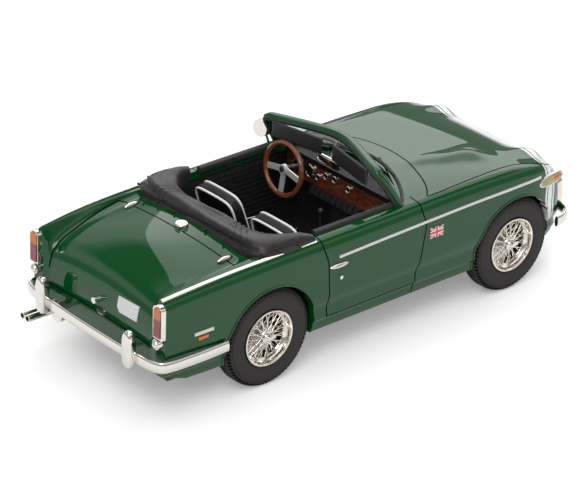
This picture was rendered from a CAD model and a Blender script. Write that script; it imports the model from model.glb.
import math

import bpy
import bmesh
import numpy as np
from mathutils import Matrix, Vector


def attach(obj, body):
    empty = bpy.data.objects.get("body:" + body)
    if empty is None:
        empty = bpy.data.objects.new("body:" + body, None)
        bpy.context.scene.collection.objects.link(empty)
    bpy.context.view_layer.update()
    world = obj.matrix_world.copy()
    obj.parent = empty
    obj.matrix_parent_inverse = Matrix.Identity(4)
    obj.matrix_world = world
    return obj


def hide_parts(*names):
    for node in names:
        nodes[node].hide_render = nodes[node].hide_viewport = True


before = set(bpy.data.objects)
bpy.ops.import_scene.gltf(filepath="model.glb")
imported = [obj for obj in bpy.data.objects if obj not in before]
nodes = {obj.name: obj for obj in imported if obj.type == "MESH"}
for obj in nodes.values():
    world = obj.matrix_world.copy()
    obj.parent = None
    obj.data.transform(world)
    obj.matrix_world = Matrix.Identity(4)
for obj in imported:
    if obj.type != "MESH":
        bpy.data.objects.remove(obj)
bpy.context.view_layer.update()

# --- Base plate and its two screws -----------------------------------------------------------
# A black moulded plate that closes the body from below and carries both axles in its saddles.
# Two countersunk cross-slot screws hold it to posts inside the metal body.


def add_node(tree, kind, inputs=None, **settings):
    """A new node with its settings, and its inputs as plain values or as links from other sockets."""
    made = tree.nodes.new(kind)
    for name, value in settings.items():
        setattr(made, name, value)
    for key, value in (inputs or {}).items():
        if isinstance(value, bpy.types.NodeSocket):
            tree.links.new(value, made.inputs[key])
        else:
            made.inputs[key].default_value = value
    return made


def finish(name, colour, other, metallic=0.0, rough=0.4, rough_range=0.08, scale=900.0, bump=0.0,
           bump_scale=4000.0, coat=0.0, ior=1.5, sheen=0.0, clear=0.0):
    """A surface finish: two close colours in soft patches, uneven gloss and a fine grain."""
    made = bpy.data.materials.new(name)
    made.use_nodes = True
    tree = made.node_tree
    shader = tree.nodes["Principled BSDF"]
    shader.inputs["Metallic"].default_value = metallic
    shader.inputs["IOR"].default_value = ior
    shader.inputs["Coat Weight"].default_value = coat
    shader.inputs["Coat Roughness"].default_value = 0.03
    shader.inputs["Sheen Weight"].default_value = sheen
    shader.inputs["Transmission Weight"].default_value = clear
    place = add_node(tree, "ShaderNodeTexCoord").outputs["Object"]
    noise = add_node(tree, "ShaderNodeTexNoise", {"Scale": scale, "Detail": 4.0, "Vector": place})
    patch = noise.outputs["Fac"]
    mix = add_node(tree, "ShaderNodeMix", {0: patch, 6: (*colour, 1), 7: (*other, 1)}, data_type="RGBA")
    tree.links.new(mix.outputs[2], shader.inputs["Base Color"])
    gloss = add_node(tree, "ShaderNodeMapRange", {"Value": patch, "To Min": max(rough - rough_range, 0.02),
                                                  "To Max": rough + rough_range})
    tree.links.new(gloss.outputs["Result"], shader.inputs["Roughness"])
    if bump:
        grain = add_node(tree, "ShaderNodeTexNoise", {"Scale": bump_scale, "Vector": place})
        relief = add_node(tree, "ShaderNodeBump", {"Strength": 0.6, "Distance": bump,
                                                   "Height": grain.outputs["Fac"]})
        tree.links.new(relief.outputs["Normal"], shader.inputs["Normal"])
    return made


def dress(names, material, angle=34.0):
    """Give pieces of the solid model their finish, with smooth curves and crisp edges."""
    for name in names:
        piece = nodes[name]
        piece.data.materials.clear()
        piece.data.materials.append(material)
        piece.data.polygons.foreach_set("use_smooth", [True] * len(piece.data.polygons))
        weld = piece.modifiers.new("joined", "WELD")
        weld.merge_threshold = 0.000002
        crisp = piece.modifiers.new("crisp", "EDGE_SPLIT")
        crisp.split_angle = math.radians(angle)


moulding = finish("black_moulding", (0.012, 0.012, 0.013), (0.02, 0.02, 0.021), rough=0.42, bump=0.00002)
steel = finish("bright_steel", (0.55, 0.55, 0.56), (0.42, 0.42, 0.43), metallic=1.0, rough=0.25)
dress(["base_plate"], moulding)
dress(["base_screws"], steel)

# --- Body casting ----------------------------------------------------------------------------
# One zinc-alloy casting: wings, doors, bonnet and boot in a single skin, with engraved shut lines
# picked out in black, open wheel arches and a cockpit cut-out. Deep gloss green enamel with a
# white band printed round the nose.
MM = 0.001
WHEELBASE, REAR, FRONT = 52.1, -26.05, 26.05
TAIL, NOSE = REAR - 20.35, FRONT + 13.55
HALF, WING, DECK, SILL, WALL = 17.1, 22.1, 22.6, 6.3, 1.2
WHEEL_Z, ARCH_R, LIP_R, LIP_STAND = 8.3, 8.85, 9.12, 0.11
LAMP_Y, LAMP_Z, LAMP_R = 11.0, 15.1, 2.6
SEAM, SEAM_DEPTH = 0.24, 0.3


def line_along(points):
    """A smooth curve v(x) through (x, v) points."""
    xs, vs = np.array(points, float).T
    steps, last = np.diff(xs), len(xs) - 1
    table, pull = np.eye(last + 1), np.zeros(last + 1)
    for i in range(1, last):
        table[i, i - 1:i + 2] = steps[i - 1], 2 * (steps[i - 1] + steps[i]), steps[i]
        pull[i] = 6 * ((vs[i + 1] - vs[i]) / steps[i] - (vs[i] - vs[i - 1]) / steps[i - 1])
    bend = np.linalg.solve(table, pull)

    def value(x):
        x = np.clip(x, xs[0], xs[-1])
        i = np.clip(np.searchsorted(xs, x, "right") - 1, 0, last - 1)
        a, b, step = xs[i + 1] - x, x - xs[i], steps[i]
        return ((bend[i] * a ** 3 + bend[i + 1] * b ** 3) / (6 * step)
                + (vs[i] / step - bend[i] * step / 6) * a + (vs[i + 1] / step - bend[i + 1] * step / 6) * b)
    return value


side_line = line_along([(TAIL, HALF - 0.8), (REAR - 15, HALF - 0.4), (REAR - 8, HALF - 0.1), (REAR, HALF),
                        (0, HALF), (REAR + 0.9 * WHEELBASE, HALF), (FRONT + 3, HALF - 0.12),
                        (FRONT + 6.5, HALF - 0.55), (FRONT + 9, HALF - 1.2), (NOSE - 2.2, HALF - 2.1),
                        (NOSE - 1.0, HALF - 3.0), (NOSE, HALF - 4.3)])
crest_line = line_along([(TAIL, WING - 1.3), (REAR - 15, WING - 0.8), (REAR - 8, WING - 0.4),
                         (REAR, WING - 0.2), (REAR + 0.3 * WHEELBASE, WING - 0.1),
                         (REAR + 0.55 * WHEELBASE, WING), (REAR + 0.8 * WHEELBASE, WING + 0.1),
                         (REAR + 0.93 * WHEELBASE, WING), (FRONT + 2, WING - 0.4), (FRONT + 5, WING - 1.0),
                         (FRONT + 7.6, WING - 1.85), (NOSE - 3.6, WING - 3.1), (NOSE - 1.9, WING - 4.8),
                         (NOSE - 0.7, WING - 7.2), (NOSE, WING - 9.2)])
centre_line = line_along([(TAIL, DECK - 0.8), (REAR - 8, DECK - 0.3), (REAR, DECK), (0, DECK + 0.2),
                          (REAR + 0.75 * WHEELBASE, DECK + 0.35), (REAR + 0.92 * WHEELBASE, DECK + 0.1),
                          (FRONT + 2, DECK - 0.55), (FRONT + 5.5, DECK - 1.3), (FRONT + 8.4, DECK - 2.4),
                          (NOSE - 2.9, DECK - 3.6), (NOSE - 1.5, DECK - 5.2), (NOSE - 0.6, DECK - 7.0),
                          (NOSE, DECK - 8.6)])
TOP_SHARES = [0.0, 0.12, 0.25, 0.38, 0.5, 0.6, 0.7, 0.8, 0.9, 1.0]
SIDE_POINTS = [(1.25, 0.013), (0.75, 0.041), (0.42, 0.082), (0.2, 0.139), (0.08, 0.203), (0.0, 0.316),
               (0.0, 0.455), (0.1, 0.67), (0.36, 0.842), (0.46, 0.87), (0.72, 0.889), (0.8, 0.918),
               (0.88, 0.956), (1.1, 1.0)]


def swell(x, y):
    """The two headlamp domes and the long power bulge on the right of the bonnet."""
    total = 0.0
    for side in (-1, 1):
        reach = 5.2 if x < FRONT + 9.4 else 2.7
        total += 1.25 * math.exp(-2.0 * (((x - FRONT - 9.4) / reach) ** 2 + ((y - side * 10.5) / 3.3) ** 2))
    start, stop = REAR + 0.7 * WHEELBASE, FRONT - 0.6
    if start < x < FRONT + 2:
        grown = min(max((x - start) / (stop - start), 0.0), 1.0)
        width, middle = 0.9 + 1.9 * grown, -4.8 - 4.0 * grown
        fall = math.exp(-2.2 * ((x - stop + 1.2) / 1.7) ** 2) if x > stop - 1.2 else 1.0
        total += 0.6 * grown ** 0.8 * fall * math.exp(-1.4 * ((y - middle) / width) ** 2)
    return total


def section(x):
    """One cross-section of the outer skin, right-hand sill to left-hand sill."""
    side, crest, centre = side_line(x), crest_line(x), centre_line(x)
    half = [(share * (side - 2.1), centre + (crest - centre) * share ** 2.3) for share in TOP_SHARES]
    half += [(side - inset, crest - drop * (crest - SILL)) for inset, drop in SIDE_POINTS]
    whole = [(-y, z) for y, z in reversed(half[1:])] + half
    return [(x, y, z + (swell(x, y) if abs(y) < side - 1.0 and z > crest - 1.0 else 0.0)) for y, z in whole]


def inner_section(x):
    """The cavity inside the casting, a wall's thickness in from the skin."""
    side, crest, centre = side_line(x) - WALL, crest_line(x) - WALL, centre_line(x) - WALL
    half = [(share * (side - 2.1), centre + (crest - centre) * share ** 2) for share in (0, 0.3, 0.6, 0.9)]
    half += [(side - 0.9, crest - 0.5), (side - 0.1, crest - 2.6), (side, crest - 6.0),
             (side - 0.35, crest - 11.0), (side - 0.8, SILL + 1.5), (side - 1.0, SILL - 1.0)]
    return [(x, -y, z) for y, z in reversed(half[1:])] + [(x, y, z) for y, z in half]


def cubic_values(places, at):
    """Cubic spline basis values at each parameter of at, for knots averaged from places."""
    count = len(places)
    knots = np.array([0.0] * 4 + [sum(places[k:k + 3]) / 3 for k in range(1, count - 3)] + [1.0] * 4)
    rows = np.zeros((len(at), count + 4))
    spans = np.clip(np.searchsorted(knots, at, "right") - 1, 3, count - 1)
    rows[np.arange(len(at)), spans] = 1.0
    for degree in range(1, 4):
        for k in range(count + 3 - degree):
            left, right = knots[k + degree] - knots[k], knots[k + degree + 1] - knots[k + 1]
            one = (at - knots[k]) / left * rows[:, k] if left > 0 else 0.0
            two = (knots[k + degree + 1] - at) / right * rows[:, k + 1] if right > 0 else 0.0
            rows[:, k] = one + two
    return rows[:, :count]


def smooth_net(net, along, across):
    """A fine grid of points on the smooth surface through a coarse net."""
    net = np.array(net, float)

    def spaced(rows):
        steps = np.linalg.norm(np.diff(rows, axis=1), axis=2).sum(0)
        return np.concatenate([[0], np.cumsum(steps)]) / steps.sum()
    places_across, places_along = spaced(net), spaced(net.transpose(1, 0, 2))
    fit_along = np.linalg.solve(cubic_values(places_along, places_along), net.reshape(len(net), -1))
    poles = fit_along.reshape(net.shape).transpose(1, 0, 2).reshape(net.shape[1], -1)
    poles = np.linalg.solve(cubic_values(places_across, places_across), poles)
    poles = poles.reshape(net.shape[1], net.shape[0], 3).transpose(1, 0, 2)
    fine = np.einsum("ij,jkl->ikl", cubic_values(places_along, np.linspace(0, 1, along)), poles)
    return np.einsum("ij,kjl->kil", cubic_values(places_across, np.linspace(0, 1, across)), fine)


def moved_out(net, grow):
    """The net moved outwards; its edges stay in their own planes."""
    forward = np.gradient(net, axis=0)
    outward = np.cross(forward, np.gradient(net, axis=1))
    outward[0, :, 0] = outward[-1, :, 0] = 0
    outward[:, 0, 0] = outward[:, -1, 0] = 0
    outward[:, 0, 2] = outward[:, -1, 2] = 0
    return net + outward / np.linalg.norm(outward, axis=2, keepdims=True) * grow


def solid_mesh(name, points, faces):
    """A closed mesh in metres from points in millimetres, faces turned outwards."""
    mesh = bpy.data.meshes.new(name)
    mesh.from_pydata((np.asarray(points, float) * MM).tolist(), [], faces)
    work = bmesh.new()
    work.from_mesh(mesh)
    bmesh.ops.recalc_face_normals(work, faces=work.faces)
    work.to_mesh(mesh)
    work.free()
    piece = bpy.data.objects.new(name, mesh)
    bpy.context.scene.collection.objects.link(piece)
    return piece


def grid_faces(rows, columns, offset=0):
    """Quads between neighbouring rows and columns of a grid of points."""
    return [(offset + i * columns + j, offset + i * columns + j + 1, offset + (i + 1) * columns + j + 1,
             offset + (i + 1) * columns + j) for i in range(rows - 1) for j in range(columns - 1)]


def closed_skin(sections, count, grow, along=230, across=190):
    """The skin through cross-sections from tail to nose, closed below and at both ends."""
    share = np.arange(count + 1) / count
    eased = 0.4 * share + 0.6 * (1 - np.cos(np.pi * share)) / 2
    net = np.array([sections(x) for x in TAIL - grow + (NOSE - TAIL + 2 * grow) * eased])
    if sections is section and grow:
        net = moved_out(net, grow)
    grid = smooth_net(net, along, across)
    faces = grid_faces(along, across)
    last = across - 1
    faces += [(i * across, i * across + last, (i + 1) * across + last, (i + 1) * across)
              for i in range(along - 1)]
    faces += [tuple(range(across)), tuple(range((along - 1) * across, along * across))]
    return solid_mesh("skin", grid.reshape(-1, 3), faces)


def extruded(grid, shift):
    """A sheet of points given depth by a shift."""
    rows, columns = grid.shape[:2]
    count = rows * columns
    points = np.concatenate([grid.reshape(-1, 3), grid.reshape(-1, 3) + shift])
    faces = grid_faces(rows, columns) + grid_faces(rows, columns, count)
    rim = list(range(columns)) + [i * columns + columns - 1 for i in range(1, rows)]
    rim += [(rows - 1) * columns + j for j in range(columns - 2, -1, -1)]
    rim += [i * columns for i in range(rows - 2, 0, -1)]
    faces += [(a, b, b + count, a + count) for a, b in zip(rim, rim[1:] + rim[:1])]
    return solid_mesh("cutter", points, faces)


lid_curve = [(REAR + 5, DECK + 0.1), (REAR - 1, DECK - 0.15), (REAR - 4.5, DECK - 0.45),
             (REAR - 9, DECK - 0.95), (REAR - 13, DECK - 1.7), (REAR - 16, DECK - 2.7),
             (TAIL + 2.5, DECK - 3.75), (TAIL + 1.45, DECK - 5.0), (TAIL + 0.95, DECK - 6.6),
             (TAIL + 0.65, DECK - 8.6), (TAIL + 0.5, DECK - 10.6), (TAIL + 0.5, DECK - 12.6),
             (TAIL + 0.8, DECK - 14.6), (TAIL + 1.7, DECK - 16.4), (TAIL + 3.0, DECK - 17.8)]
rim_curve = [(REAR + 5, WING + 0.35), (REAR - 1, WING + 0.25), (REAR - 4.5, WING + 0.15), (REAR - 9, WING),
             (REAR - 13, WING - 0.1), (REAR - 16, WING - 0.2), (TAIL + 0.9, WING - 0.5),
             (TAIL - 0.3, WING - 1.2), (TAIL - 0.5, WING - 3.2), (TAIL - 0.5, WING - 6.2),
             (TAIL - 0.5, WING - 9.2), (TAIL - 0.5, WING - 11.6), (TAIL - 0.4, WING - 13.8),
             (TAIL, WING - 15.9), (TAIL + 1.0, WING - 17.4)]


def lid_cutter(grow):
    """The space over the boot lid and behind the tail panel, which lie lower than the wings."""
    y = np.arange(-16, 17) / 16 * 15.5
    share = np.clip((abs(y) - 13.0) / 2.1, 0, 1)
    blend = share * share * (3 - 2 * share)
    rows = []
    for (lid_x, lid_z), (rim_x, rim_z) in zip(lid_curve, rim_curve):
        flat = max(0.0, min(1.0, (lid_z - DECK + 8.0) / 6.0))
        crown = -1.15 * flat * np.minimum(abs(y) / 14.0, 1.0) ** 2
        bow = 0.35 * (1 - flat) * (y / 14.0) ** 2
        rows.append(np.stack([lid_x - bow + (rim_x - lid_x + bow) * blend - grow, y,
                              lid_z + crown + (rim_z - lid_z - crown) * blend + grow], axis=1))
    return extruded(smooth_net(rows, 130, 150), np.array([-14.0, 0, 4.0]))


def prism(outline, axis, start, stop):
    """A straight block with an outline across one axis."""
    order = {"X": (2, 0, 1), "Y": (0, 2, 1), "Z": (0, 1, 2)}[axis]
    count = len(outline)
    flat = [(a, b, end) for end in (start, stop) for a, b in outline]
    points = np.array(flat)[:, order]
    faces = [tuple(range(count)), tuple(range(count, 2 * count))]
    faces += [(i, (i + 1) % count, count + (i + 1) % count, count + i) for i in range(count)]
    return solid_mesh("cutter", points, faces)


def ribbon(line, width, axis, start, stop, finer=6):
    """A thin upright wall that follows a line, as wide as a shut line."""
    line = np.array(line, float)
    if finer > 1:
        spots = np.arange(len(line))
        at = np.linspace(0, len(line) - 1, (len(line) - 1) * finer + 1)
        line = np.stack([line_along(list(zip(spots, line[:, k])))(at) for k in (0, 1)], axis=1)
    run = np.gradient(line, axis=0)
    across = np.stack([-run[:, 1], run[:, 0]],
                      axis=1) / np.linalg.norm(run, axis=1, keepdims=True) * width / 2
    return prism([tuple(p) for p in np.concatenate([line + across, (line - across)[::-1]])], axis, start,
                 stop)


def twin(piece):
    """A second piece of the same shape."""
    copy = piece.copy()
    copy.data = piece.data.copy()
    bpy.context.scene.collection.objects.link(copy)
    return copy


def mirror_copy(piece):
    """The same piece on the other side of the car."""
    copy = twin(piece)
    copy.data.transform(Matrix.Scale(-1, 4, (0, 1, 0)))
    copy.data.flip_normals()
    return copy


def carve(piece, tools, kind="DIFFERENCE"):
    """Take the tools' volume out of a piece, or add it, and clear the tools away."""
    for tool in tools:
        step = piece.modifiers.new("carve", "BOOLEAN")
        step.operation, step.solver, step.object = kind, "MANIFOLD", tool
        step.material_mode = "TRANSFER"
    bpy.context.view_layer.update()
    mesh = bpy.data.meshes.new_from_object(piece.evaluated_get(bpy.context.evaluated_depsgraph_get()))
    piece.modifiers.clear()
    piece.data = mesh
    for tool in tools:
        bpy.data.objects.remove(tool)
    return piece


def disc_outline(x, z, radius, count=96):
    """A circle as an outline of points."""
    return [(x + radius * math.cos(2 * math.pi * k / count), z + radius * math.sin(2 * math.pi * k / count))
            for k in range(count)]


enamel = finish("green_enamel", (0.0012, 0.063, 0.0122), (0.001, 0.057, 0.0108), rough=0.32,
                rough_range=0.03, scale=120.0, coat=1.0)
enamel.node_tree.nodes["Principled BSDF"].inputs["Specular IOR Level"].default_value = 0.0


def place_in(material):
    """The X, Y and Z sockets of each point of a material, in metres."""
    place = add_node(material.node_tree, "ShaderNodeTexCoord")
    return add_node(material.node_tree, "ShaderNodeSeparateXYZ", {0: place.outputs["Object"]}).outputs


def maths(tree, kind, first, second=0.0):
    """One arithmetic step in a node tree."""
    return add_node(tree, "ShaderNodeMath", {0: first, 1: second}, operation=kind).outputs[0]


def overprint(material, amount, colour):
    """Print a colour on a material wherever the amount is 1."""
    base = material.node_tree.nodes["Principled BSDF"].inputs["Base Color"]
    layer = add_node(material.node_tree, "ShaderNodeMix",
                     {0: amount, 6: base.links[0].from_socket, 7: (*colour, 1)}, data_type="RGBA")
    material.node_tree.links.new(layer.outputs[2], base)


# the band curves a little forwards towards the wings: its middle is at BAND_X on the centre line
BAND_X, BAND_SWEEP, BAND_EDGE, BAND_FOOT, GAP_IN, GAP_OUT = 0.0341, -1.9, 0.00145, 0.0098, 0.00068, 0.00096
tree = enamel.node_tree
ahead, beside, height = place_in(enamel)
sweep = maths(tree, "MULTIPLY", maths(tree, "MULTIPLY", beside, beside), BAND_SWEEP)
away = maths(tree, "ABSOLUTE", maths(tree, "ADD", maths(tree, "SUBTRACT", ahead, BAND_X), sweep))
inside = maths(tree, "LESS_THAN", away, BAND_EDGE)
past, short = maths(tree, "GREATER_THAN", away, GAP_IN), maths(tree, "LESS_THAN", away, GAP_OUT)
gap = maths(tree, "MULTIPLY", past, short)
above = maths(tree, "GREATER_THAN", height, BAND_FOOT)
overprint(enamel, maths(tree, "MULTIPLY", maths(tree, "SUBTRACT", inside, gap), above), (0.82, 0.83, 0.81))
wash = finish("black_wash", (0.004, 0.005, 0.004), (0.002, 0.002, 0.002), rough=0.6)

casting = closed_skin(section, 44, 0.0)
casting.name = casting.data.name = "body_skin"
casting.data.materials.append(enamel)
casting.data.materials.append(wash)
carve(casting, [lid_cutter(0.0)])
door_rear = [(-15.9, 23.5), (-15.8, 20.8), (-15.1, 18.6), (-14.8, 16.0), (-14.65, 12.5), (-14.65, 8.45)]
door_front = [(4.9, 23.5), (4.9, 20.9), (5.5, 19.0), (5.5, 17.5), (5.0, 14.5), (4.4, 11.5), (4.0, 8.4),
              (3.7, 5.5)]
bonnet_edge = [(12.9, 0), (12.5, 4), (11.2, 8.5), (9.3, 12.6), (7.3, 15.0), (10, 15.05), (17, 14.75),
               (24, 14.5), (28, 14.65), (31.5, 14.9), (34.5, 14.6), (36.6, 13.6), (37.8, 12.0), (38.3, 9.0),
               (38.55, 5), (38.6, 0)]
lid_edge = [(-31.3, 0), (-31.1, 9), (-30.9, 13.4), (-31.8, 14.0), (-36, 13.7), (-41, 13.15), (-44.6, 12.95),
            (-48, 13.0)]
shut_lines = []
for line, axis, start, finer in ((door_rear, "Y", 13.7, 4), (door_front, "Y", 13.7, 4),
                                 ([(-14.7, 8.45), (4.05, 8.45)], "Y", 13.7, 1),
                                 (bonnet_edge[:5], "Z", 14.5, 4), (bonnet_edge[4:], "Z", 14.5, 4),
                                 (lid_edge[:3], "Z", 14.5, 1), (lid_edge[2:], "Z", 14.5, 1)):
    wall = ribbon(line, SEAM, axis, start, 30, finer)
    shut_lines += [wall, mirror_copy(wall)]
shut_lines.append(ribbon([(-13.0, 12.0), (13.0, 12.0)], SEAM, "X", TAIL - 2, TAIL + 2, 1))
for wall in shut_lines:
    wall.data.materials.append(wash)
kernel = closed_skin(section, 44, -SEAM_DEPTH, 120, 120)
kernel.data.materials.append(wash)
carve(kernel, [lid_cutter(-SEAM_DEPTH)])
for wall in shut_lines:
    carve(wall, [twin(kernel)])
bpy.data.objects.remove(kernel)
wheel_spots = [(axle_x, side) for axle_x in (REAR, FRONT) for side in (1, -1)]
lips = [prism(disc_outline(axle_x, WHEEL_Z, LIP_R, 120), "Y", side * 15.0, side * 19.0)
        for axle_x, side in wheel_spots]
shell = closed_skin(section, 44, LIP_STAND)
for ring in lips:
    carve(ring, [twin(shell)], "INTERSECT")
    ring.data.materials.clear()
    ring.data.materials.append(enamel)
bpy.data.objects.remove(shell)
carve(casting, lips, "UNION")
carve(casting, shut_lines)
hollow = closed_skin(inner_section, 20, -WALL, 60, 60)
hollow.data.materials.append(enamel)
carve(hollow, [lid_cutter(-WALL)])
cuts = [hollow]
BOW_R, BOW_X = 16.94, 8.0
bow = [(BOW_X - BOW_R + BOW_R * math.cos(a), BOW_R * math.sin(a)) for a in np.linspace(-0.9724, 0.9724, 33)]
cuts.append(prism(bow + [(-27.0, 14.0), (-27.0, -14.0)], "Z", SILL, 40))
cuts += [prism(disc_outline(axle_x, WHEEL_Z, ARCH_R, 120), "Y", side * 10.8, side * 21.0)
         for axle_x, side in wheel_spots]
cuts += [prism(disc_outline(side * LAMP_Y, LAMP_Z, LAMP_R, 64), "X", NOSE - 2.4, NOSE + 8)
         for side in (1, -1)]
cuts.append(prism([(-8, 10.9), (8, 10.9), (8, 15.6), (-8, 15.6)], "X", NOSE - 4, NOSE + 4))
tail_rise = [(TAIL - 2, 8.6), (TAIL, 8.0), (REAR - 15.5, SILL), (REAR - 15.5, 5), (TAIL - 2, 5)]
nose_rise = [(NOSE + 1, 8.0), (FRONT + 9.5, SILL), (FRONT + 9.5, 5), (NOSE + 1, 5)]
cuts += [prism(rise, "Y", -30, 30) for rise in (tail_rise, nose_rise)]
carve(casting, cuts)


def settle(piece, material, body="car", angle=32.0):
    """Shade a finished piece smoothly with crisp edges, and let it ride on its body."""
    mesh = piece.data
    if material is not None and not mesh.materials:
        mesh.materials.append(material)
    mesh.polygons.foreach_set("use_smooth", [True] * len(mesh.polygons))
    mesh.set_sharp_from_angle(angle=math.radians(angle))
    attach(piece, body)
    return piece


settle(casting, enamel)
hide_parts("body_casting")

# --- Grille, headlamps and side lamps --------------------------------------------------------
# The grille, lamp rims and bases are separate plated mouldings pressed into recesses of the body.
# Lenses are clear or tinted drops of moulding; each side lamp is amber ahead and clear behind.
chrome = finish("bright_plating", (0.84, 0.81, 0.76), (0.76, 0.73, 0.68), metallic=1.0, rough=0.07,
                rough_range=0.03)
clear = finish("clear_lens", (0.92, 0.94, 0.94), (0.85, 0.88, 0.88), rough=0.06, rough_range=0.02,
               clear=0.85, ior=1.49)
amber = finish("amber_lens", (0.75, 0.2, 0.012), (0.5, 0.1, 0.008), rough=0.12, rough_range=0.04,
               clear=0.25, coat=0.6)
red = finish("red_lens", (0.28, 0.012, 0.02), (0.16, 0.006, 0.01), rough=0.12, rough_range=0.04, clear=0.15,
             coat=0.6)
dress(["grille", "headlamp_bezels", "side_lamp_bases"], chrome)
dress(["headlamp_lenses"], clear)
straw = finish("side_lamp_lens", (0.5, 0.42, 0.16), (0.62, 0.55, 0.3), rough=0.1, clear=0.35, coat=0.6)
LENS_SPLIT_X = 0.0347
overprint(straw, maths(straw.node_tree, "GREATER_THAN", place_in(straw)[0], LENS_SPLIT_X),
          (0.8, 0.24, 0.01))
dress(["side_lamp_lenses"], straw)

# --- Tail lamps ------------------------------------------------------------------------------
# A plated frame stands on each wing's end, with an amber lens over a red one. Below it is a round
# plated reversing lamp, and an oval plate lamp sits on the tail panel above the bumper.
dress(["tail_lamp_bezels", "reversing_and_plate_lamps"], chrome)
dress(["tail_lamp_amber_lenses"], amber)
dress(["tail_lamp_red_lenses"], red)

# --- Bumpers and exhaust ---------------------------------------------------------------------
# Each bumper is one plated bar of rounded section, bolted to two irons that pass through the
# skin, with two upright overriders. Twin plated tailpipes leave below the left rear corner.


def tube_faces(rows, width, ring=False, offset=0):
    """Quads round a tube of rows of points; its ends are capped, or joined into a ring."""
    faces = [(offset + k * width + i, offset + k * width + (i + 1) % width,
              offset + (k + 1) % rows * width + (i + 1) % width, offset + (k + 1) % rows * width + i)
             for k in range(rows if ring else rows - 1) for i in range(width)]
    return faces if ring else faces + [tuple(range(width)), tuple(range((rows - 1) * width, rows * width))]


def mirrored(points):
    """Right-hand points, the middle one last, continued to the left."""
    return points + [(x, -y, z) for x, y, z in reversed(points[:-1])]


def swept(name, line, outline, material, angle=40.0, count=140, shift=(0, 0, 0)):
    """A bar with a flat outline carried along a line; the outline is (sideways, upwards)."""
    spots = np.arange(len(line))
    at = np.linspace(0, len(line) - 1, count)
    line = np.array(line, float) + np.array(shift, float)
    path = np.stack([line_along(list(zip(spots, line[:, k])))(at) for k in range(3)], axis=1)
    run = np.gradient(path, axis=0)
    run /= np.linalg.norm(run, axis=1, keepdims=True)
    out_of = np.cross(run, np.array([[0, 0, 1.0]]))
    out_of /= np.linalg.norm(out_of, axis=1, keepdims=True)
    tall = np.cross(out_of, run)
    sideways, upwards = np.array(outline).T
    points = path[:, None] + out_of[:, None] * sideways[:, None] + tall[:, None] * upwards[:, None]
    return settle(solid_mesh(name, points.reshape(-1, 3), tube_faces(count, len(outline))), material,
                  angle=angle)


def oval(wide, tall, count=20, power=2.6):
    """A rounded bar outline."""
    around = np.linspace(0, 2 * math.pi, count, endpoint=False)
    return [(wide * np.sign(math.cos(a)) * abs(math.cos(a)) ** (2 / power),
             tall * np.sign(math.sin(a)) * abs(math.sin(a)) ** (2 / power)) for a in around]


def soft_block(half, crown, flutes=0, round_by=4.0, cuts=40, roll=0.0, top_round=0.0):
    """A cushion's points and faces about its middle, with bulging faces and sewn flutes on +Z and -Z."""
    work = bmesh.new()
    bmesh.ops.create_cube(work, size=2.0)
    bmesh.ops.subdivide_edges(work, edges=work.edges, cuts=cuts, use_grid_fill=True)
    points = np.array([v.co for v in work.verts])
    faces = [[v.index for v in f.verts] for f in work.faces]
    work.free()
    length = (np.abs(points) ** round_by).sum(1) ** (1 / round_by)
    unit = points / length[:, None] * np.abs(points).max(1)[:, None]
    u, v, w = unit.T
    shaped = unit * np.array(half)
    if top_round:
        shaped[:, 0] *= 1 - top_round * np.clip(v, 0, 1) ** 4
    fill = np.clip(1 - u ** 2, 0, 1) * np.clip(1 - v ** 2, 0, 1)
    face = np.clip(np.abs(w) * 1.6 - 0.6, 0, 1) * np.sign(w)
    lift = crown * fill ** 0.5
    if flutes:
        middle = np.clip((0.62 - np.abs(u)) * 12, 0, 1) * np.clip((0.78 - np.abs(v)) * 10, 0, 1)
        lift -= 0.22 * middle * np.abs(np.cos(u * math.pi * flutes / 1.24)) ** 8
        lift -= roll * middle
    shaped[:, 2] += face * lift
    return shaped, faces


BUMPER_DEEP, BUMPER_TALL = 0.37, 0.95
REAR_FACE, FRONT_FACE, REAR_LEVEL, FRONT_LEVEL = TAIL - 2.1, NOSE + 1.5, 10.3, 9.9
OVERRIDER_HALF, OVERRIDER_Y, OVERRIDER_OUT, OVERRIDER_UP = (1.08, 3.15, 0.85), 10.84, 0.45, 1.28
rear_line = mirrored([(REAR - 8.9, -HALF - 0.12, REAR_LEVEL), (REAR - 13.5, -HALF - 0.22, REAR_LEVEL),
                      (REAR - 17.5, -HALF - 0.12, REAR_LEVEL), (REAR_FACE + 1.9, -HALF + 0.25, REAR_LEVEL),
                      (REAR_FACE + 0.85, -HALF + 1.35, REAR_LEVEL),
                      (REAR_FACE + 0.35, -HALF + 4.0, REAR_LEVEL), (REAR_FACE + 0.08, -6.5, REAR_LEVEL),
                      (REAR_FACE, 0, REAR_LEVEL)])
front_line = mirrored([(FRONT + 9.6, -HALF + 0.15, FRONT_LEVEL), (FRONT + 11.4, -HALF + 0.45, FRONT_LEVEL),
                       (FRONT_FACE - 2.0, -HALF + 1.4, FRONT_LEVEL),
                       (FRONT_FACE - 1.05, -HALF + 3.1, FRONT_LEVEL),
                       (FRONT_FACE - 0.5, -10.6, FRONT_LEVEL), (FRONT_FACE - 0.12, -5.6, FRONT_LEVEL),
                       (FRONT_FACE, 0, FRONT_LEVEL)])
for end, line in (("rear", rear_line), ("front", front_line)):
    bar = swept(end + "_bumper_bar", line, oval(BUMPER_DEEP, BUMPER_TALL, 28, 2.0), chrome, 50.0,
                200)
    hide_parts(end + "_bumper")
block, block_faces = soft_block(OVERRIDER_HALF, 0.0, round_by=3.4, cuts=14, top_round=0.12)
guards, guard_faces = [], []
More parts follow.
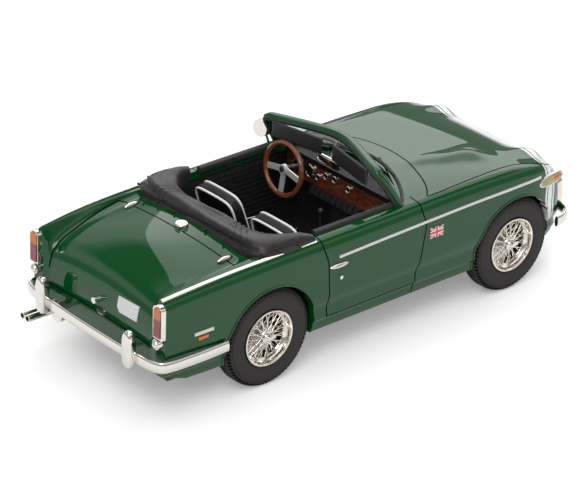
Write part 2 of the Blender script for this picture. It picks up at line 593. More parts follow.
for face_x, way, level in ((REAR_FACE, -1, REAR_LEVEL), (FRONT_FACE, 1, FRONT_LEVEL)):
    for hand in (1, -1):
        guard_faces += [[i + len(guards) * len(block) for i in face] for face in block_faces]
        guards.append(block[:, [2, 0, 1]]
                      + (face_x + way * OVERRIDER_OUT, hand * OVERRIDER_Y, level + OVERRIDER_UP))
overriders = solid_mesh("overrider_set", np.concatenate(guards), guard_faces)
settle(overriders, chrome, angle=60)
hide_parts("overriders")
dress(["exhaust"], chrome, 40)
dress(["bumper_irons"], steel)

# --- Interior tub ----------------------------------------------------------------------------
# One black moulding makes the floor, tunnel, door cards and rear shelf; it is glued up under the
# skin. The door cards carry fine horizontal ribs, and a rubber strip caps each door's top.
vinyl = finish("black_vinyl", (0.011, 0.011, 0.012), (0.018, 0.018, 0.019), rough=0.5, bump=0.00003,
               bump_scale=5200.0)
rubber = finish("black_rubber", (0.016, 0.016, 0.017), (0.026, 0.026, 0.027), rough=0.62, bump=0.00004)
dress(["interior_tub"], vinyl)
dress(["cockpit_trim"], rubber)


def growth_tree(name, inputs):
    """A node tree that grows a mesh from inputs, each (key, label, kind, first value)."""
    tree = bpy.data.node_groups.new(name, "GeometryNodeTree")
    tree.interface.new_socket(name="Geometry", in_out="OUTPUT", socket_type="NodeSocketGeometry")
    keys = {}
    for key, label, kind, first in inputs:
        made = tree.interface.new_socket(name=label, in_out="INPUT", socket_type="NodeSocket" + kind)
        made.default_value = first
        keys[key] = made.identifier
    entry = add_node(tree, "NodeGroupInput")
    return tree, keys, {key: entry.outputs[label] for key, label, kind, first in inputs}


def close_tree(tree, parts, material):
    """Join the grown parts into one plain mesh of one material."""
    join = add_node(tree, "GeometryNodeJoinGeometry")
    for part in parts:
        tree.links.new(part, join.inputs[0])
    real = add_node(tree, "GeometryNodeRealizeInstances", {0: join.outputs[0]})
    paint = add_node(tree, "GeometryNodeSetMaterial", {"Geometry": real.outputs[0], "Material": material})
    add_node(tree, "NodeGroupOutput", {0: paint.outputs[0]})


def grown(name, tree, keys, values, body="car", slot="black_plastic", angle=32.0):
    """Run a node tree on an empty piece, keep the result as a plain mesh, and settle it."""
    host = bpy.data.objects.new(name, bpy.data.meshes.new(name))
    bpy.context.scene.collection.objects.link(host)
    growth = host.modifiers.new("growth", "NODES")
    growth.node_group = tree
    for key, value in values.items():
        growth[keys[key]] = value
    bpy.context.view_layer.update()
    mesh = bpy.data.meshes.new_from_object(host.evaluated_get(bpy.context.evaluated_depsgraph_get()))
    host.modifiers.clear()
    host.data = mesh
    mesh.name = name
    return settle(host, None, body, angle)


def rib_tree(material):
    """Straight ribs stacked upwards on both door cards."""
    tree, keys, given = growth_tree("door_card_ribs", (
        ("length", "Rib length", "Float", 0.015), ("thick", "Rib thickness", "Float", 0.0003),
        ("count", "Ribs", "Int", 10), ("pitch", "Rib pitch", "Float", 0.0007),
        ("side", "Distance from middle", "Float", 0.0138), ("low", "Lowest rib", "Float", 0.013),
        ("middle", "Middle along car", "Float", -0.006)))
    size = add_node(tree, "ShaderNodeCombineXYZ",
                    {0: given["length"], 1: given["thick"], 2: given["thick"]})
    bar = add_node(tree, "GeometryNodeMeshCube", {"Size": size.outputs[0]})
    step = add_node(tree, "ShaderNodeCombineXYZ", {2: given["pitch"]})
    parts = []
    for hand in (1, -1):
        beside = maths(tree, "MULTIPLY", given["side"], hand)
        start = add_node(tree, "ShaderNodeCombineXYZ", {0: given["middle"], 1: beside, 2: given["low"]})
        line = add_node(tree, "GeometryNodeMeshLine",
                        {"Count": given["count"], "Start Location": start.outputs[0],
                         "Offset": step.outputs[0]})
        parts.append(add_node(tree, "GeometryNodeInstanceOnPoints",
                              {"Points": line.outputs[0], "Instance": bar.outputs["Mesh"]}).outputs[0])
    close_tree(tree, parts, material)
    return tree, keys


grown("door_card_ribs", *rib_tree(vinyl),
      {"length": 0.0195, "thick": 0.00036, "count": 11, "pitch": 0.00085, "middle": -0.0045, "low": 0.0112,
       "side": 0.01382})

# --- Seats -----------------------------------------------------------------------------------
# Two bucket seats, each a crowned cushion and a leaning back with sewn flutes down the middle and
# raised side rolls. White piping is sewn round the top edges. They stand on the floor.
SEAT_Y, SEAT_HALF, CUSHION_X, CUSHION_Z = 6.9, 5.0, (-13.4, -4.0), (7.9, 12.1)
BACK_FOOT, BACK_LEAN, BACK_TALL, BACK_THICK = (-14.7, 9.7), 19.0, 12.4, 2.1
white_vinyl = finish("white_piping", (0.88, 0.88, 0.87), (0.82, 0.82, 0.81), rough=0.45)
seat_vinyl = finish("seat_vinyl", (0.007, 0.007, 0.0075), (0.012, 0.012, 0.013), rough=0.36, bump=0.00004,
                    bump_scale=3600.0, ior=1.38)


def piping(name, line, radius):
    """A round white cord along a smooth line of points in millimetres."""
    curve = bpy.data.curves.new(name, "CURVE")
    curve.dimensions = "3D"
    spline = curve.splines.new("NURBS")
    spline.points.add(len(line) - 1)
    for point, spot in zip(spline.points, line):
        point.co = (*(np.array(spot) * MM), 1)
    spline.use_endpoint_u = True
    spline.order_u = 3
    spline.resolution_u = 6
    curve.bevel_depth = radius * MM
    curve.bevel_resolution = 4
    curve.use_fill_caps = True
    holder = bpy.data.objects.new(name, curve)
    bpy.context.scene.collection.objects.link(holder)
    bpy.context.view_layer.update()
    mesh = bpy.data.meshes.new_from_object(holder.evaluated_get(bpy.context.evaluated_depsgraph_get()))
    bpy.data.objects.remove(holder)
    piece = bpy.data.objects.new(name, mesh)
    bpy.context.scene.collection.objects.link(piece)
    mesh.materials.clear()
    settle(piece, white_vinyl)


lean = math.radians(BACK_LEAN)
up_back = np.array([-math.sin(lean), 0, math.cos(lean)])
out_back = np.array([math.cos(lean), 0, math.sin(lean)])
for side, way in (("left", 1), ("right", -1)):
    middle = np.array([(CUSHION_X[0] + CUSHION_X[1]) / 2, way * SEAT_Y, (CUSHION_Z[0] + CUSHION_Z[1]) / 2])
    half = (SEAT_HALF, (CUSHION_X[1] - CUSHION_X[0]) / 2, (CUSHION_Z[1] - CUSHION_Z[0]) / 2 - 0.2)
    points, faces = soft_block(half, 0.35, 7, 7.0, roll=0.25)
    cushion = points[:, [1, 0, 2]] + middle
    face_out = BACK_THICK / 2 - 0.12
    points, back_faces = soft_block((SEAT_HALF, BACK_TALL / 2, face_out), 0.3, 7, 7.0, roll=0.2,
                                    top_round=0.1)
    foot = np.array([BACK_FOOT[0], way * SEAT_Y, BACK_FOOT[1]])
    centre = foot + up_back * BACK_TALL / 2 + out_back * BACK_THICK / 2
    back = (centre + points[:, [0]] * np.array([0, 1, 0]) + points[:, [1]] * up_back
            + points[:, [2]] * out_back)
    seat = solid_mesh("seat_%s_cover" % side, np.concatenate([cushion, back]),
                      faces + [[i + len(cushion) for i in face] for face in back_faces])
    settle(seat, seat_vinyl, angle=60)
    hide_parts("seat_" + side)
    arc = [(-4.62, -0.1), (-4.62, 3.6), (-4.5, 5.1), (-3.7, 5.98), (-1.8, 6.14), (1.8, 6.14), (3.7, 5.98),
           (4.5, 5.1), (4.62, 3.6), (4.62, -0.1)]
    for place_name, depth in (("front", face_out), ("rear", -face_out)):
        line = [centre + np.array([0, a, 0]) + up_back * b + out_back * depth for a, b in arc]
        piping("seat_%s_piping_%s" % (side, place_name), line, 0.2)
    edge = [(-9.5, -4.7, 11.75), (-5.6, -4.65, 11.75), (-4.3, -4.0, 11.6), (-4.15, 0, 11.55),
            (-4.3, 4.0, 11.6), (-5.6, 4.65, 11.75), (-9.5, 4.7, 11.75)]
    piping("seat_%s_piping_cushion" % side, [(x, y + way * SEAT_Y, z) for x, y, z in edge], 0.17)

# --- Dashboard, gauges and levers ------------------------------------------------------------
# A varnished wooden board with plated gauge rings and black dials, a padded black crash roll on
# top, a ribbed shelf below, and a black gear lever and handbrake on the tunnel.
wood = finish("varnished_wood", (0.17, 0.042, 0.013), (0.085, 0.02, 0.007), rough=0.3, coat=0.5)
tree = wood.node_tree
place = add_node(tree, "ShaderNodeTexCoord")
figure = add_node(tree, "ShaderNodeTexWave", {"Scale": 260.0, "Distortion": 9.0, "Detail Scale": 2.0,
                                              "Vector": place.outputs["Object"]},
                  wave_type="BANDS", bands_direction="Z")
mix = next(n for n in tree.nodes if n.type == "MIX")
tree.links.new(figure.outputs["Fac"], mix.inputs[0])
dress(["dash_panel"], wood)
pad_grain = finish("crash_pad_vinyl", (0.012, 0.012, 0.0125), (0.008, 0.008, 0.0085), rough=0.5,
                   bump=0.00003, ior=1.3)
dress(["crash_pad"], pad_grain)
dress(["gear_lever_and_handbrake"], moulding)
DIALS = [(4.9, 19.3, 0.62), (3.0, 20.2, 0.62), (0.9, 20.4, 0.62), (-2.4, 19.9, 0.62), (10.3, 19.7, 1.15),
         (6.95, 19.7, 1.15)]
DASH_FACE, DIAL_SINK = 2.2, 0.25
dial_black = finish("dial_black", (0.006, 0.006, 0.007), (0.012, 0.012, 0.013), rough=0.3)
dial_mark = finish("dial_marking", (0.7, 0.7, 0.68), (0.6, 0.6, 0.58), rough=0.5)
rings, dial_faces, marks, shelf = ([], []), ([], []), ([], []), ([], [])
BOX_FACES = ((0, 1, 2, 3), (4, 5, 6, 7), (0, 1, 5, 4), (1, 2, 6, 5), (2, 3, 7, 6), (3, 0, 4, 7))


def add_box(store, corners):
    """Add a box from its eight corners, one face and then the opposite one."""
    points, faces = store
    faces += [tuple(len(points) + i for i in face) for face in BOX_FACES]
    points += corners


def add_turned(store, outline, y, z, count=32):
    """Add a ring turned about an axis along X through (y, z) from an outline of (radius, x)."""
    points, faces = store
    faces += tube_faces(count, len(outline), True, len(points))
    for k in range(count):
        a = 2 * math.pi * k / count
        points += [(x, y + r * math.cos(a), z + r * math.sin(a)) for r, x in outline]


for y, z, radius in DIALS:
    face_x = DASH_FACE - DIAL_SINK
    add_turned(rings, [(radius, DASH_FACE), (radius, face_x - 0.08), (radius - 0.08, face_x - 0.14),
                       (radius - 0.16, face_x - 0.08), (radius - 0.18, DASH_FACE)], y, z)
    add_turned(dial_faces, [(0.001, DASH_FACE), (0.001, face_x - 0.03), (radius - 0.15, face_x - 0.03),
                            (radius - 0.15, DASH_FACE)], y, z)
    count = 7 if radius > 1 else 3
    low, high = radius * 0.6, radius * 0.78
    for k in range(count):
        a = math.radians(-120 + 240 * k / (count - 1)) + math.pi / 2
        add_box(marks, [(x, y + r * math.cos(a) - w * math.sin(a), z + r * math.sin(a) + w * math.cos(a))
                        for x in (face_x - 0.06, face_x - 0.02)
                        for r, w in ((low, -0.04), (high, -0.04), (high, 0.04), (low, 0.04))])
rims = settle(solid_mesh("gauge_rims", *rings), chrome)
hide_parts("gauges")
settle(solid_mesh("gauge_faces", *dial_faces), dial_black)
settle(solid_mesh("gauge_marks", *marks), dial_mark)
SHELF_FRONT, SHELF_FOOT, SHELF_TOP, SHELF_PITCH, SHELF_RIB = 2.65, 16.4, 17.5, 1.32, 1.1
for k in range(9):
    right = -5.6 + k * SHELF_PITCH
    add_box(shelf,
            [(x, y, z) for back, z in ((SHELF_FRONT - 1.6, SHELF_FOOT), (SHELF_FRONT - 1.3, SHELF_TOP))
             for x, y in ((back, right), (back, right + SHELF_RIB), (SHELF_FRONT, right + SHELF_RIB),
                          (SHELF_FRONT, right))])
settle(solid_mesh("under_dash_shelf", *shelf), vinyl)

# --- Steering wheel --------------------------------------------------------------------------
# A varnished wooden rim on three flat satin arms, with a plated ring round a black centre boss,
# pushed on to a column that leaves the dashboard.
STEER, STEER_TILT, STEER_R = (-3.2, 7.6, 21.2), 8.0, 4.35
satin = finish("satin_arms", (0.66, 0.66, 0.65), (0.58, 0.58, 0.57), metallic=0.45, rough=0.34,
               rough_range=0.06)
rim_wood = finish("rim_wood", (0.21, 0.055, 0.022), (0.14, 0.034, 0.013), rough=0.25, scale=700.0, coat=0.7)
dress(["steering_spokes"], satin)
dress(["steering_column"], moulding)
tilt = math.radians(STEER_TILT)
axis = np.array([math.cos(tilt), 0, -math.sin(tilt)])
down, left = np.array([-math.sin(tilt), 0, -math.cos(tilt)]), np.array([0, 1.0, 0])
AROUND, ACROSS, GRIP_R = 96, 16, 0.42


def wheel_ring(steps, outline_at):
    """Points round the steering axis from an outline of (radius, height along the axis) at each angle."""
    return [np.array(STEER) + (down * math.cos(a) + left * math.sin(a)) * r + axis * height
            for a in (2 * math.pi * k / steps for k in range(steps)) for r, height in outline_at(a)]


def grip_at(a):
    """The rim's round section at an angle, with its finger waves."""
    grip = GRIP_R + 0.02 * math.cos(24 * a)
    return [(STEER_R + grip * math.cos(b), grip * math.sin(b))
            for b in (2 * math.pi * i / ACROSS for i in range(ACROSS))]


rim = solid_mesh("steering_wheel_rim", wheel_ring(AROUND, grip_at), tube_faces(AROUND, ACROSS, True))
settle(rim, rim_wood, angle=60)
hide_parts("steering_rim")
BOSS = [(0.001, -0.36), (0.001, -0.5), (0.42, -0.52), (0.5, -0.44), (0.5, -0.36)]
points, faces = wheel_ring(32, lambda a: BOSS), tube_faces(32, len(BOSS), True)
settle(solid_mesh("steering_boss_cap", points, faces), moulding)

# --- Windscreen ------------------------------------------------------------------------------
# The screen surround is cast in body colour, with a black lining behind its header. A clear bent
# pane sits in it on a rubber seal. Two padded visors and a plated mirror hang from the header.
TOP, REACH = 28.55, 14.5
frame_line = mirrored([(2.5, -REACH, 21.1), (1.2, -REACH + 0.15, 23.2), (-0.4, -REACH + 0.5, 25.8),
                       (-1.75, -REACH + 1.1, TOP - 0.75), (-1.75, -REACH + 2.1, TOP - 0.15),
                       (-0.6, -9.3, TOP - 0.02), (1.0, -5.2, TOP), (2.1, 0, TOP + 0.05)])
surround = swept("screen_surround", frame_line, oval(0.8, 0.55), enamel)
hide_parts("windscreen_frame")
lining = finish("black_lining", (0.014, 0.014, 0.015), (0.022, 0.022, 0.023), rough=0.55, bump=0.00003)
swept("screen_lining", frame_line, oval(0.45, 0.35), lining, shift=(-0.62, 0, -0.28))
glass = finish("screen_glass", (0.96, 0.98, 0.97), (0.94, 0.97, 0.96), rough=0.02, rough_range=0.0,
               clear=1.0, ior=1.46)
dress(["windscreen_glass"], glass)
dress(["screen_seal", "wipers"], rubber)
visor_vinyl = finish("visor_vinyl", (0.013, 0.012, 0.012), (0.02, 0.019, 0.019), rough=0.48, bump=0.00003)
dress(["sun_visors"], visor_vinyl)
dress(["rear_view_mirror", "door_mirror"], chrome)

# --- Folded hood -----------------------------------------------------------------------------
# The soft top lies folded in a black cover that wraps the back of the cockpit. It is a soft roll,
# creased where it turns forward, and its edge is held to the deck by small dark studs.
HOOD_RISE, HOOD_SIDE = 2.7, 16.0
stations = [((-16.7, -HOOD_SIDE + 0.2), (-17.3, -HOOD_SIDE + 2.0), 1.5),
            ((-20.2, -HOOD_SIDE + 0.05), (-18.9, -HOOD_SIDE + 2.5), 2.2),
            ((-24.0, -HOOD_SIDE + 0.15), (-20.9, -HOOD_SIDE + 3.5), 2.5),
            ((-27.0, -HOOD_SIDE + 1.1), (-22.6, -HOOD_SIDE + 5.2), 2.6),
            ((-28.2, -HOOD_SIDE + 3.6), (-23.6, -HOOD_SIDE + 7.4), 2.7),
            ((-28.5, -8.0), (-24.1, -5.6), HOOD_RISE), ((-28.6, -3.8), (-24.1, -2.6), HOOD_RISE),
            ((-28.6, 0), (-24.1, 0), HOOD_RISE)]
stations += [((ox, -oy), (ix, -iy), rise) for (ox, oy), (ix, iy), rise in reversed(stations[:-1])]
roll = ((0.5, -0.9), (0.1, -0.7), (0.0, 0.25), (0.05, 0.6), (0.22, 0.86), (0.5, 1.0), (0.78, 0.97),
        (0.95, 0.75), (1.0, 0.3), (0.9, -0.6), (0.5, -0.9))
net = [[(ox + (ix - ox) * a, oy + (iy - oy) * a, DECK - 1.3 + rise * b) for a, b in roll]
       for (ox, oy), (ix, iy), rise in stations]
LONG, ROUND = 420, 96
grid = smooth_net(net, LONG, ROUND)
normal = np.cross(np.gradient(grid, axis=0), np.gradient(grid, axis=1))
normal /= np.linalg.norm(normal, axis=2, keepdims=True)
if normal[LONG // 2, ROUND // 2, 2] < 0:
    normal = -normal
rng = np.random.default_rng(5)
s, t = np.meshgrid(np.linspace(0, 1, LONG), np.linspace(0, 1, ROUND), indexing="ij")
folds = np.zeros_like(s)
for k in range(9):
    lane, drift, wave, depth, wide = (rng.uniform(0.3, 0.86), rng.uniform(-0.1, 0.1), rng.uniform(1.5, 4.5),
                                      rng.uniform(0.17, 0.36), rng.uniform(0.022, 0.042))
    phase, begin, stop = rng.uniform(0, 6.28), rng.uniform(0.0, 0.35), rng.uniform(0.65, 1.0)
    run = np.clip((s - begin) * 7, 0, 1) * np.clip((stop - s) * 7, 0, 1)
    offset = t - lane - drift * np.sin(wave * s * 3 + phase) * 0.5
    folds -= depth * run * np.exp(-(offset / wide) ** 2)
    folds += 0.6 * depth * run * np.exp(-((offset - 1.9 * wide) / (1.4 * wide)) ** 2)
for k in range(46):
    at, lane, size = rng.uniform(0, 1), rng.uniform(0.25, 0.8), rng.uniform(0.008, 0.02)
    depth, skew = rng.uniform(-0.07, 0.06), rng.uniform(-0.5, 0.5)
    folds += depth * np.exp(-((s - at + skew * (t - lane) * 0.2) / size) ** 2 - ((t - lane) / 0.13) ** 2)
for corner in (0.3, 0.7):
    for k in range(6):
        at = corner + (k - 2.5) * 0.014
        crease = np.exp(-((s - at - 0.1 * (t - 0.5)) / 0.006) ** 2)
        folds += (0.1 if k % 2 else -0.15) * crease * np.exp(-((t - 0.62) / 0.17) ** 2)
fade = np.clip(np.minimum(t - 0.16, 0.9 - t) * 12, 0, 1)
grid = grid + normal * (folds * fade)[:, :, None]
cover_cloth = finish("hood_cloth", (0.012, 0.0095, 0.0092), (0.019, 0.0155, 0.015), rough=0.34,
                     rough_range=0.08, scale=500.0, ior=1.42, bump=0.00005, bump_scale=6000.0, sheen=0.06)
hood = solid_mesh("folded_hood_cover", grid[:, :-1].reshape(-1, 3), tube_faces(LONG, ROUND - 1))
settle(hood, cover_cloth, angle=70)
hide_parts("folded_hood")
stud_metal = finish("dark_studs", (0.05, 0.045, 0.042), (0.03, 0.028, 0.026), metallic=0.7, rough=0.35)
dress(["hood_studs"], stud_metal)

# --- Trim on the skin ------------------------------------------------------------------------
# Bright strips, beads and plates are thin prints or mouldings laid on the enamel. Door handles,
# locks, boot hinges and the fuel filler are small plated pieces pushed into holes.
silver = finish("silver_print", (0.68, 0.69, 0.68), (0.6, 0.61, 0.6), metallic=0.35, rough=0.3)
dress(["side_strips", "badges"], silver)
dress(["wing_beads", "handles_and_locks", "fuel_cap", "boot_hinges"], chrome)
orange = finish("orange_reflector", (0.8, 0.16, 0.01), (0.6, 0.1, 0.008), rough=0.25, coat=0.5)
dress(["side_reflectors"], orange)
flag = finish("flag_print", (0.02, 0.03, 0.12), (0.018, 0.025, 0.1), rough=0.35, coat=0.4)
FLAG_X, FLAG_Z, FLAG_LONG, FLAG_TALL = 0.00785, 0.0166, 0.00145, 0.00095
FLAG_WHITE, FLAG_RED = (0.8, 0.8, 0.78), (0.7, 0.03, 0.02)
tree = flag.node_tree
ahead, _, height = place_in(flag)
across = maths(tree, "ABSOLUTE", maths(tree, "DIVIDE", maths(tree, "SUBTRACT", ahead, FLAG_X), FLAG_LONG))
upward = maths(tree, "ABSOLUTE", maths(tree, "DIVIDE", maths(tree, "SUBTRACT", height, FLAG_Z), FLAG_TALL))
cross_off = maths(tree, "MINIMUM", across, maths(tree, "MULTIPLY", upward, 0.65))
slant_off = maths(tree, "ABSOLUTE", maths(tree, "SUBTRACT", across, upward))
for test, limit, shade in ((slant_off, 0.24, FLAG_WHITE), (slant_off, 0.1, FLAG_RED),
                           (cross_off, 0.26, FLAG_WHITE), (cross_off, 0.15, FLAG_RED)):
    overprint(flag, maths(tree, "LESS_THAN", test, limit), shade)
dress(["wing_flags"], flag)

# --- Axles and wheels ------------------------------------------------------------------------
# Each steel axle carries two wheels: a soft tyre stretched over a plated rim, whose hub is held by
# two layers of crossing wire spokes, and a plated two-eared nut. Every wheel turns with its axle.
FACE_Y = 16.6
TYRE_STEPS, NOTCHES, NOTCH_IN = 288, 72, 7.65
SIDEWALL = [(4.74, 0.5), (4.9, 0.24), (5.09, 0.13), (5.5, 0.04), (6.1, 0.0), (6.8, 0.03), (7.22, 0.09),
            (7.26, 0.2), (7.36, 0.2), (7.4, 0.11), (7.58, 0.14), (7.7, 0.22), (7.88, 0.32), (8.06, 0.46),
            (8.16, 0.66), (8.24, 0.9)]
TREAD = [(8.26, 1.0)]
for lane in (1.2, 1.65, 2.1, 2.55):
    TREAD += [(8.29, lane - 0.02), (8.08, lane), (8.08, lane + 0.12), (8.29, lane + 0.14)]
TYRE = SIDEWALL + TREAD + [(8.26, 2.9)] + [(r, 3.9 - w) for r, w in reversed(SIDEWALL)]
RIM = [(4.71, 3.5), (4.71, 0.14), (4.68, 0.05), (4.6, 0.0), (4.48, 0.0), (4.38, 0.06), (4.32, 0.18),
       (4.28, 0.4), (4.22, 0.75), (4.08, 0.95), (3.86, 1.08), (3.74, 1.25), (3.72, 1.7), (3.8, 2.8),
       (4.0, 3.1), (4.26, 3.5)]
HUB = [(0.82, 3.15), (1.2, 3.15), (1.2, 2.75), (1.0, 2.6), (0.92, 2.2), (0.92, 1.6), (1.0, 1.4),
       (1.16, 1.3), (1.2, 1.2), (1.2, 0.9), (1.14, 0.72), (1.02, 0.6), (0.84, 0.55), (0.64, 0.55),
       (0.64, 0.7), (0.82, 0.8)]


def wheel_turned(name, outline, end, hand, steps, material, notched=False):
    """A ring turned about a wheel's axis from an outline of (radius, depth from the wheel's face)."""
    rows = []
    for k in range(steps):
        angle = 2 * math.pi * k / steps
        low = notched and k * NOTCHES * 2 // steps % 2 == 1
        for r, w in outline:
            shoulder = low and NOTCH_IN < r < 8.1
            reach, depth = (r - 0.05, w + (0.32 if w < 2 else -0.32)) if shoulder else (r, w)
            rows.append((end * FRONT + reach * math.cos(angle), hand * (FACE_Y - depth),
                         WHEEL_Z + reach * math.sin(angle)))
    ring = solid_mesh(name, rows, tube_faces(steps, len(outline), True))
    return settle(ring, material, "front_wheels" if end > 0 else "rear_wheels")


def spoke_tree(material):
    """Wires from a hub out to a rim, leaning both ways, set at equal angles about a wheel's axis."""
    tree, keys, given = growth_tree("wire_spokes", (
        ("centre", "Wheel centre", "Vector", (0.0, 0.0, 0.0)), ("count", "Spokes each way", "Int", 20),
        ("hub", "Hub radius", "Float", 0.0011), ("rim", "Rim radius", "Float", 0.0042),
        ("hub_depth", "Depth at hub", "Float", 0.001), ("rim_depth", "Depth at rim", "Float", 0.001),
        ("lean", "Lean sideways", "Float", 0.0012), ("phase", "First angle", "Float", 0.0),
        ("wire", "Wire radius", "Float", 0.0001)))
    profile = add_node(tree, "GeometryNodeCurvePrimitiveCircle", {"Resolution": 6, "Radius": given["wire"]})
    number = add_node(tree, "GeometryNodeInputIndex").outputs[0]
    share = maths(tree, "DIVIDE", 2 * math.pi, given["count"])
    angle = add_node(tree, "ShaderNodeMath", {0: number, 1: share, 2: given["phase"]},
                     operation="MULTIPLY_ADD")
    spin = add_node(tree, "ShaderNodeCombineXYZ", {1: angle.outputs[0]})
    places = add_node(tree, "GeometryNodeMeshLine", {"Offset": (0, 0, 0), "Count": given["count"],
                                                     "Start Location": given["centre"]})
    first = add_node(tree, "ShaderNodeCombineXYZ", {0: given["hub"], 1: given["hub_depth"]})
    parts = []
    for way in (1, -1):
        lean = maths(tree, "MULTIPLY", given["lean"], way)
        last = add_node(tree, "ShaderNodeCombineXYZ", {0: given["rim"], 1: given["rim_depth"], 2: lean})
        wire = add_node(tree, "GeometryNodeCurvePrimitiveLine",
                        {"Start": first.outputs[0], "End": last.outputs[0]})
        bar = add_node(tree, "GeometryNodeCurveToMesh", {"Curve": wire.outputs[0], "Fill Caps": True,
                                                         "Profile Curve": profile.outputs[0]})
        parts.append(add_node(tree, "GeometryNodeInstanceOnPoints",
                              {"Points": places.outputs[0], "Instance": bar.outputs[0],
                               "Rotation": spin.outputs[0]}).outputs[0])
    close_tree(tree, parts, material)
    return tree, keys


tyre_rubber = finish("tyre_rubber", (0.026, 0.024, 0.0228), (0.035, 0.0325, 0.031), rough=0.62,
                     rough_range=0.1, scale=700.0, bump=0.00002, bump_scale=5000.0, ior=1.34)
groove_rubber = finish("groove_rubber", (0.003, 0.003, 0.003), (0.002, 0.002, 0.002), rough=0.8, ior=1.2)
wheel_plating = finish("wheel_plating", (0.86, 0.81, 0.74), (0.78, 0.73, 0.66), metallic=1.0, rough=0.09,
                       rough_range=0.03)
wires = spoke_tree(wheel_plating)
SPOKES, HUB_GRIP, SPOKE_LEAN, WIRE_R = 15, 1.12, 1.15, 0.1
for end, end_name in ((1, "front"), (-1, "rear")):
    for hand, side in ((1, "left"), (-1, "right")):
        mark = end_name + "_" + side
        tyre = wheel_turned("tyre_cover_" + mark, TYRE, end, hand, TYRE_STEPS, tyre_rubber,
                            True)
        tyre.data.materials.append(groove_rubber)
        for face in tyre.data.polygons:
            step, corner = divmod(face.index, len(TYRE))
            if step * NOTCHES * 2 // TYRE_STEPS % 2 == 1 and NOTCH_IN < TYRE[corner][0] < 7.95:
                face.material_index = 1
        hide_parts("tyre_" + mark)
        rim = wheel_turned("wheel_rim_" + mark, RIM, end, hand, 128, wheel_plating)
        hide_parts("rim_" + mark)
        hub = wheel_turned("wheel_hub_" + mark, HUB, end, hand, 64, wheel_plating)
        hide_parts("spokes_and_hubs_" + end_name)
        for layer, hub_depth, rim_depth, rim_radius, phase in (("outer", 0.85, 1.12, 3.86, 0.0),
                                                               ("inner", 2.7, 2.1, 3.8, 0.11)):
            reach = math.sqrt(rim_radius ** 2 - SPOKE_LEAN ** 2)
            spokes = grown("spokes_%s_%s" % (layer, mark), *wires,
                           {"centre": (end * FRONT * MM, hand * FACE_Y * MM, WHEEL_Z * MM), "count": SPOKES,
                            "hub": HUB_GRIP * MM, "rim": reach * MM, "hub_depth": -hand * hub_depth * MM,
                            "rim_depth": -hand * rim_depth * MM, "lean": SPOKE_LEAN * MM, "phase": phase,
                            "wire": WIRE_R * MM}, end_name + "_wheels", "chrome", 80.0)
            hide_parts("spokes_and_hubs_" + end_name)
dress(["hub_nuts_front", "hub_nuts_rear"], chrome)
dress(["front_axle", "rear_axle"], steel)

# --- Studio ----------------------------------------------------------------------------------
# A plain pale floor and a white surround, lit by one large soft light above the far side and a
# low even light all round.
ground = bpy.data.meshes.new("floor")
ground.from_pydata([(-4, -4, 0), (4, -4, 0), (4, 4, 0), (-4, 4, 0)], [], [(0, 1, 2, 3)])
floor = bpy.data.objects.new("floor", ground)
bpy.context.scene.collection.objects.link(floor)
paper = bpy.data.materials.new("white_floor")
paper.use_nodes = True
tree = paper.node_tree
shader = tree.nodes["Principled BSDF"]
for key, value in (("Base Color", (0.9, 0.9, 0.9, 1)), ("Roughness", 0.9), ("Specular IOR Level", 0.0),
                   ("Emission Color", (1, 1, 1, 1))):
    shader.inputs[key].default_value = value
seen = add_node(tree, "ShaderNodeLightPath").outputs["Is Camera Ray"]
tree.links.new(maths(tree, "MULTIPLY", seen, 0.25), shader.inputs["Emission Strength"])
ground.materials.append(paper)

surround = bpy.data.worlds.new("surround")
bpy.context.scene.world = surround
surround.use_nodes = True
tree = surround.node_tree
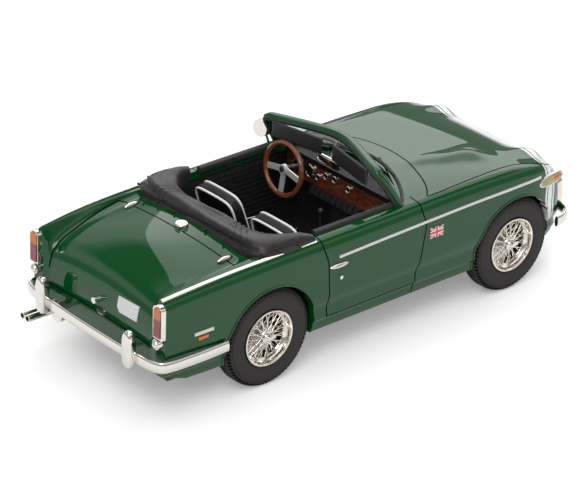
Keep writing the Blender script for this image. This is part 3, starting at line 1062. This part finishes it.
# the room's glow against height: low by the floor, brightest half-way up, dim and then bright overhead
SKY_STEPS = ((0.3, 0.33), (0.45, 0.93), (0.58, 0.83), (0.66, 0.15), (0.8, 0.15), (0.9, 1.4))
heading = add_node(tree, "ShaderNodeTexCoord")
height = add_node(tree, "ShaderNodeSeparateXYZ", {0: heading.outputs["Generated"]})
fade = add_node(tree, "ShaderNodeValToRGB", {"Fac": height.outputs["Z"]})
sky = fade.color_ramp.elements
sky.remove(sky[0])
for place, (level, glow) in enumerate(SKY_STEPS):
    step = sky.new(level) if place else sky[0]
    step.position, step.color = level, (glow, glow, glow, 1)
room = tree.nodes["Background"]
room.inputs["Strength"].default_value = 1.0
tree.links.new(fade.outputs["Color"], room.inputs["Color"])
bright = add_node(tree, "ShaderNodeBackground", {"Color": (1, 1, 1, 1), "Strength": 1.0})
rays = add_node(tree, "ShaderNodeLightPath")
shown = maths(tree, "MAXIMUM", rays.outputs["Is Camera Ray"], rays.outputs["Is Transmission Ray"])
blend = add_node(tree, "ShaderNodeMixShader", {0: shown, 1: room.outputs[0], 2: bright.outputs[0]})
tree.links.new(blend.outputs[0], tree.nodes["World Output"].inputs["Surface"])


def soft_light(name, place, aim, wide, tall, power):
    """A rectangular soft light at a place, turned towards a point."""
    lamp = bpy.data.lights.new(name, "AREA")
    lamp.shape = "RECTANGLE"
    lamp.size, lamp.size_y, lamp.energy = wide, tall, power
    holder = bpy.data.objects.new(name, lamp)
    holder.location = place
    holder.rotation_euler = (Vector(place) - Vector(aim)).to_track_quat("Z", "Y").to_euler()
    bpy.context.scene.collection.objects.link(holder)


soft_light("overhead_light", (0.42, 0.26, 0.44), (0.02, 0, 0.01), 0.62, 0.62, 1.7)
soft_light("side_light", (-0.45, -0.4, 0.6), (0, 0, 0.01), 0.4, 0.4, 2.6)

lens = bpy.data.cameras.new("camera")
lens.lens, lens.sensor_width, lens.clip_start = 179.2, 36.0, 0.01
viewer = bpy.data.objects.new("camera", lens)
across, upright, back, spot = ((0.75754813, -0.6518378, 0.03504729), (0.27453246, 0.36684492, 0.88885136),
                               (-0.59224383, -0.66372607, 0.45685332), (-0.284659, -0.311118, 0.22587))
viewer.matrix_world = Matrix([(across[i], upright[i], back[i], spot[i]) for i in range(3)] + [(0, 0, 0, 1)])
bpy.context.scene.collection.objects.link(viewer)
bpy.context.scene.camera = viewer
bpy.context.scene.view_settings.view_transform = "Standard"
